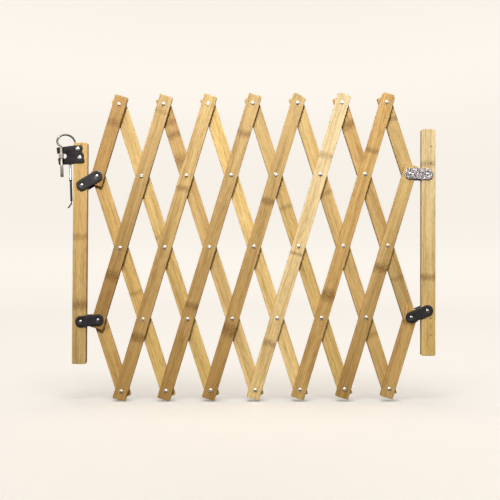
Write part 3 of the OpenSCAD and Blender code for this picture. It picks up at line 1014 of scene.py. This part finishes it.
def make_handle():
    """The bent wire, its rear rod with a thin neck, and the black foot."""
    route = [Vector(p) for p in ((PIN_X, PIN_Y, PIN_TOP), (PIN_X, PIN_Y, PIN_TOP + 3),
                                 (-53.5, PIN_Y, PIN_TOP + 4.5))]
    route += [loop_point(a) for a in range(0, 181, 30)]
    route += [Vector(p) for p in ((-18.5, BEHIND_Y, -12), (-19, BEHIND_Y, -20),
                                  (ROD_X, BEHIND_Y, -27), (ROD_X, BEHIND_Y, -33),
                                  (ROD_X, ROD_Y, -35), (ROD_X, ROD_Y, ROD_TOP - 1))]
    radii = [WIRE_R] * len(route)
    for _ in range(3):
        route, radii = cut_corners(route, radii)
    for z, r in ((ROD_TOP - 2, ROD_R), (ROD_BOTTOM + 0.8, ROD_R), (ROD_BOTTOM, ROD_R - 0.6),
                 (ROD_BOTTOM - 0.4, 1.3), (ROD_BOTTOM - 5, 1.2)):
        route.append(Vector((ROD_X, ROD_Y, z)))
        radii.append(r)
    put("lift_handle_wire", sweep(route, radii).mesh("lift_handle", 40), WIRE_STEEL, "latch_bolt",
        ["lift_handle"], SLIDE)
    foot = [Vector((ROD_X, ROD_Y, ROD_BOTTOM - 3.6)), Vector((ROD_X, ROD_Y, ROD_BOTTOM - 4)),
            Vector((ROD_X - 1, ROD_Y, ROD_BOTTOM - 7)),
            Vector((ROD_X - 8.6, ROD_Y, ROD_BOTTOM - 16.4)),
            Vector((ROD_X - 9, ROD_Y, ROD_BOTTOM - 17))]
    sizes = [1.25, 1.6, 1.6, 1.6, 1.2]
    for _ in range(2):
        foot, sizes = cut_corners(foot, sizes)
    put("lift_handle_foot", sweep(foot, sizes).mesh("foot", 40), RUBBER, "latch_bolt",
        (), SLIDE)


def make_locking_pin():
    """The pin, whose free end is thicker than its stem and has an eased tip."""
    shell = Shell()
    shell.lathe([(0, -PIN_TOP), (PIN_STEM_R, -PIN_TOP), (PIN_STEM_R, -PIN_STEP - 0.4),
                 (PIN_END_R - 0.3, -PIN_STEP), (PIN_END_R, -PIN_STEP + 0.3),
                 (PIN_END_R, -PIN_BOTTOM - 1), (PIN_END_R - 0.4, -PIN_BOTTOM - 0.3),
                 (PIN_END_R - 1, -PIN_BOTTOM), (0, -PIN_BOTTOM)], 40, place=downward(PIN_X, PIN_Y))
    put("locking_pin_steel", shell.mesh("locking_pin"), PIN_STEEL, "latch_bolt",
        ["locking_pin"], SLIDE)


# ------------------------------------------------------------------------ studio and camera

VIEW_WIDTH = 1.247       # width of the picture at the gate's front, m
CAMERA_AWAY = 1.25       # distance from the gate's front, m
CAMERA_ROLL = -0.03      # degrees
CAMERA_SHIFT = Vector((0.0096, 0, -0.0082))    # from the box's middle to the view's
CREAM = "fbf5ec"         # the backdrop's glow
PAPER = "f5f3f0"         # its own colour
FLOOR_R, CURVE_R, WALL_TOP = 2.2, 1.6, 6.0     # the backdrop's round floor, curve and wall


def make_camera():
    """A level camera in front of the gate, a little off its middle."""
    low, high = cad_box
    look = (low + high) / 2 + CAMERA_SHIFT
    look.y = 0
    lens = bpy.data.cameras.new("camera")
    lens.sensor_width = 36
    lens.lens = lens.sensor_width * CAMERA_AWAY / VIEW_WIDTH
    lens.clip_start, lens.clip_end = 0.05, 40
    camera = bpy.data.objects.new("camera", lens)
    bpy.context.scene.collection.objects.link(camera)
    camera.matrix_world = (Matrix.Translation(look - Vector((0, CAMERA_AWAY, 0)))
                           @ Matrix.Rotation(math.radians(CAMERA_ROLL), 4, "Y")
                           @ Matrix.Rotation(math.pi / 2, 4, "X"))
    bpy.context.scene.camera = camera


def cream_paper(middle_spot):
    """The backdrop's matt cream. It glows more where the lamps reach it less, so it stays even."""
    p = Paint("cream_paper", Roughness=1.0, Specular_IOR_Level=0.0)
    away = p.node("VectorMath", p.place(Matrix.Translation(middle_spot)), operation="LENGTH",
                  output=1)
    _, _, height = p.split(p.node("TexCoord", output=3))
    near = p.calc("MINIMUM", p.calc("MULTIPLY_ADD", away, 0.115, 0.135), 0.54)
    glow = p.calc("ADD", near, p.rescale(height, -0.2, 1.6, 0, 0.2))
    p.feed(p.shader.inputs["Base Color"], (*tint(PAPER), 1))
    p.feed(p.shader.inputs["Emission Color"], (*tint(CREAM), 1))
    p.feed(p.shader.inputs["Emission Strength"], glow)
    return p.material


def make_stage():
    """A round floor at the gate's feet that curves up into a wall all round. It lights nothing."""
    low, high = cad_box
    centre = Vector(((low.x + high.x) / 2, 0, low.z))
    profile = [(0, 0)] + [(FLOOR_R + x, CURVE_R + z) for x, z in arc((0, 0), CURVE_R, -90, 0, 12)]
    profile.append((FLOOR_R + CURVE_R, WALL_TOP))
    steps = 96
    rings = [[(max(r, 1e-3) * math.cos(2 * math.pi * k / steps),
               max(r, 1e-3) * math.sin(2 * math.pi * k / steps), z) for k in range(steps)]
             for r, z in profile]
    mesh = Shell().rings(rings, caps=False, place=Matrix.Translation(centre)).mesh("backdrop", 60)
    mesh.materials.append(cream_paper(centre - Vector((0, 0.5, 0))))
    sheet = bpy.data.objects.new("backdrop", mesh)
    bpy.context.scene.collection.objects.link(sheet)
    sheet.visible_glossy = sheet.visible_diffuse = sheet.visible_shadow = False
    return sheet


def lamp(name, spot, size, power, colour):
    """A square soft light at spot, aimed at the gate's middle."""
    low, high = cad_box
    target = (low + high) / 2
    data = bpy.data.lights.new(name, "AREA")
    data.shape, data.size, data.energy, data.color = "SQUARE", size, power, tint(colour)
    light = bpy.data.objects.new(name, data)
    light.location = target + Vector(spot)
    light.rotation_mode = "QUATERNION"
    light.rotation_quaternion = (target - light.location).to_track_quat("-Z", "Y")
    bpy.context.scene.collection.objects.link(light)
    return light


def keep_off(light, sheet):
    """Lets a light miss the backdrop, so that it throws no pattern of the lattice there."""
    missed = bpy.data.collections.new("missed_by_" + light.name)
    missed.objects.link(sheet)
    missed.collection_objects[0].light_linking.link_state = "EXCLUDE"
    light.light_linking.receiver_collection = missed


def make_world():
    """A studio that is bright above and dim below, and brighter still where metal mirrors it."""
    world = bpy.data.worlds.new("studio")
    bpy.context.scene.world = world
    world.use_nodes = True
    n = Nodes(world.node_tree)
    sky = n.tree.nodes["Background"]
    _, _, height = n.split(n.node("TexCoord", output="Generated"))
    mirrored = n.calc("MULTIPLY_ADD", n.node("LightPath", output="Is Glossy Ray"), 1.8, 1.0)
    strength = n.calc("MULTIPLY", n.rescale(height, -0.25, 0.2, 0.04, 0.36), mirrored)
    n.feed(sky.inputs["Strength"], strength)
    n.feed(sky.inputs["Color"], (*tint("f6f1ea"), 1))


def make_light(sheet):
    """A key, a fill and an overhead lamp, and a faint one behind for the gate's back."""
    keep_off(lamp("key", (-0.35, -1.6, 1.65), 0.5, 59, "fff9f2"), sheet)
    lamp("fill", (1.6, -2.2, 0.8), 2.0, 6, "fffaf4")
    lamp("overhead", (0.0, -0.3, 2.6), 1.6, 48, "fffaf4")
    behind = lamp("behind", (0.5, 2.4, 1.3), 1.5, 22, "fffaf4")
    behind.visible_camera = False
    keep_off(behind, sheet)
    make_world()
    view = bpy.context.scene.view_settings
    view.view_transform = "Standard"
    view.look = "None"


# ------------------------------------------------------------------------------ put together

for number in range(1, 10):
    make_slat(number, "front")
    make_slat(number, "back")
    make_rivets(number)
make_posts()
for place_name in ("hinge_upper", "hinge_lower", "latch_upper", "latch_lower"):
    make_links(place_name)
make_plate()
make_knuckle()
make_screws()
make_guide()
make_handle()
make_locking_pin()
make_camera()
make_light(make_stage())
